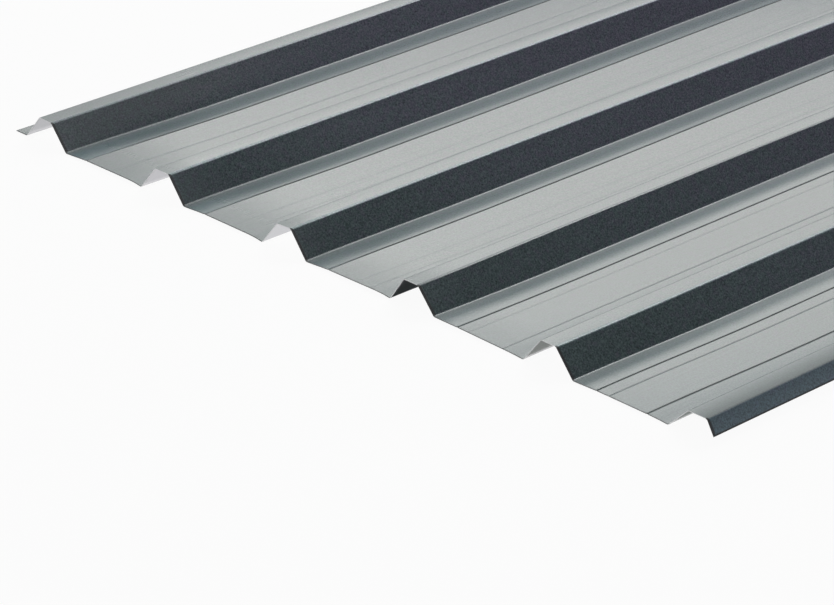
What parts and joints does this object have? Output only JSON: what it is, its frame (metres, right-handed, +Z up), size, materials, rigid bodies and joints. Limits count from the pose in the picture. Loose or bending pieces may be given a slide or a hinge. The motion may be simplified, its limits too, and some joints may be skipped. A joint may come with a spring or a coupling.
{
  "type": "box profile roofing sheet",
  "caption": "Cold-rolled coated steel roofing sheet with trapezoidal ribs and flat creased pans, an underlap foot along its left edge and a free overlap rib along its right edge.",
  "frame": {"origin": "on the floor, under the middle of the sheet's bounding box", "axes": "+X across the ribs from the underlap edge to the overlap edge, +Y along the sheet, +Z up from the pans to the crowns"},
  "size_m": [1.0836, 2.44, 0.032],
  "materials": {
    "coated_steel": "semi-gloss blue-grey coat with a fine grain on the weather side, light grey backing coat beneath, bare steel at the cut edges"
  },
  "bodies": {
    "root": {"box_profile_sheet": "coated_steel"}
  },
  "joints": []
}
